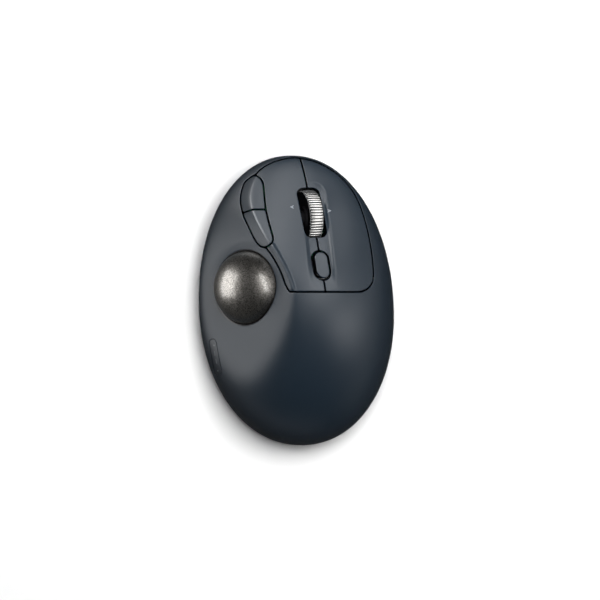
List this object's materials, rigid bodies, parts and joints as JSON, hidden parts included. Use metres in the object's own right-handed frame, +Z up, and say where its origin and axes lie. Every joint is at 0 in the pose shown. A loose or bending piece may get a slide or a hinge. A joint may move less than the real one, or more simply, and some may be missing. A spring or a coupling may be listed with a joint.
{
  "type": "trackball mouse",
  "caption": "Egg-shaped right-handed mouse with a thumb-operated trackball, sculpted main and side keys and a leaning ribbed scroll wheel.",
  "frame": {"origin": "centre of the footprint, on the plane that the rubber feet stand on", "axes": "+X to the user's right, +Y away from the user towards the finger end, +Z up; the thumb ball is on the -X side"},
  "size_m": [0.0878, 0.1302, 0.0456],
  "materials": {
    "casing": "satin moulded, dark slate blue",
    "keys": "satin moulded, dark slate blue",
    "inner_plastic": "black, as moulded",
    "small_parts": "black switch and chip bodies",
    "underside_controls": "grey",
    "steel": "plain steel",
    "rib_metal": "ribbed and polished",
    "ball": "gunmetal with fine metallic flakes",
    "bearing": "polished",
    "board": "green solder mask",
    "clear": "clear",
    "window": "smoked",
    "battery_pouch": "foil pouch",
    "rubber": "matt"
  },
  "bodies": {
    "housing": {"base_shell": "casing", "top_shell": "casing", "button_pivot_rod": "steel", "key_frame": "inner_plastic", "side_switch_board": "board", "side_switches": "small_parts", "speed_switch": "small_parts", "scroll_mount": "inner_plastic", "wheel_click_switch": "small_parts", "ball_cup": "inner_plastic", "ball_bearings": "bearing", "sensor_lens": "clear", "sensor_module": "small_parts", "sensor_board": "board", "main_board": "board", "click_switches": "small_parts", "controller_chip": "small_parts", "usb_c_port": "steel", "usb_c_tongue": "small_parts", "battery": "battery_pouch", "battery_pad": "inner_plastic", "indicator_lens": "window", "indicator_board": "board", "indicator_leds": "clear", "power_switch": "steel", "pairing_switch": "small_parts", "case_screws": "steel", "board_screws": "steel", "rubber_feet": "rubber"},
    "left_key": {"left_button": "keys", "left_hinge": "inner_plastic"},
    "right_key": {"right_button": "keys", "right_hinge": "inner_plastic"},
    "forward_key": {"forward_button": "keys"},
    "back_key": {"back_button": "keys"},
    "speed_key": {"speed_button": "keys"},
    "click_carriage": {"wheel_carriage": "inner_plastic", "tilt_switches": "small_parts"},
    "cradle": {"tilt_cradle": "inner_plastic", "wheel_encoder": "small_parts"},
    "scroll_wheel": {"wheel_rim": "rib_metal", "wheel_hub": "inner_plastic", "wheel_axle": "steel"},
    "ball": {"trackball": "ball"},
    "slider": {"power_slider": "underside_controls"},
    "pairing_key": {"pairing_button": "underside_controls"},
    "receiver": {"receiver_cap": "underside_controls", "receiver_plug": "steel"}
  },
  "joints": [
    {"name": "left_click", "type": "hinge", "parent": "housing", "child": "left_key", "pos_m": [0.00978, 0.00964, 0.03338], "axis": [-0.9331, -0.031, 0.3584], "range_deg": [0, 0.9], "stiffness_Nm_per_rad": 0.9, "springref_deg": -1.15},
    {"name": "right_click", "type": "hinge", "parent": "housing", "child": "right_key", "pos_m": [0.00978, 0.00964, 0.03338], "axis": [-0.9331, -0.031, 0.3584], "range_deg": [0, 0.9], "stiffness_Nm_per_rad": 0.9, "springref_deg": -1.15},
    {"name": "forward_press", "type": "slide", "parent": "housing", "child": "forward_key", "axis": [0.35, 0, -0.9367], "range_m": [0, 0.0005], "stiffness_N_per_m": 1200, "springref_m": -0.0003},
    {"name": "back_press", "type": "slide", "parent": "housing", "child": "back_key", "axis": [0.35, 0, -0.9367], "range_m": [0, 0.0005], "stiffness_N_per_m": 1200, "springref_m": -0.0003},
    {"name": "speed_press", "type": "slide", "parent": "housing", "child": "speed_key", "axis": [-0.3582, -0.0119, -0.9336], "range_m": [0, 0.00045], "stiffness_N_per_m": 1200, "springref_m": -0.0003},
    {"name": "wheel_click", "type": "slide", "parent": "housing", "child": "click_carriage", "axis": [-0.3582, -0.0119, -0.9336], "range_m": [0, 0.0006], "stiffness_N_per_m": 1500, "springref_m": -0.0006},
    {"name": "wheel_tilt", "type": "hinge", "parent": "click_carriage", "child": "cradle", "pos_m": [0.00235, 0.03681, 0.01639], "axis": [-0.0332, 0.9995, 0], "range_deg": [-4, 4], "stiffness_Nm_per_rad": 0.15},
    {"name": "wheel_spin", "type": "hinge", "parent": "cradle", "child": "scroll_wheel", "pos_m": [0.005, 0.0369, 0.0233], "axis": [0.9331, 0.031, -0.3584], "continuous": true},
    {"name": "ball_roll", "type": "hinge", "parent": "housing", "child": "ball", "pos_m": [-0.0203, 0.0057, 0.0256], "axis": [1, 0, 0], "continuous": true},
    {"name": "power_slide", "type": "slide", "parent": "housing", "child": "slider", "axis": [1, 0, 0], "range_m": [0, 0.004]},
    {"name": "pairing_press", "type": "slide", "parent": "housing", "child": "pairing_key", "axis": [0, 0, 1], "range_m": [0, 0.0006], "stiffness_N_per_m": 500, "springref_m": -0.0004},
    {"name": "receiver_pull", "type": "slide", "parent": "housing", "child": "receiver", "axis": [0, 0, -1], "range_m": [0, 0.012]}
  ]
}
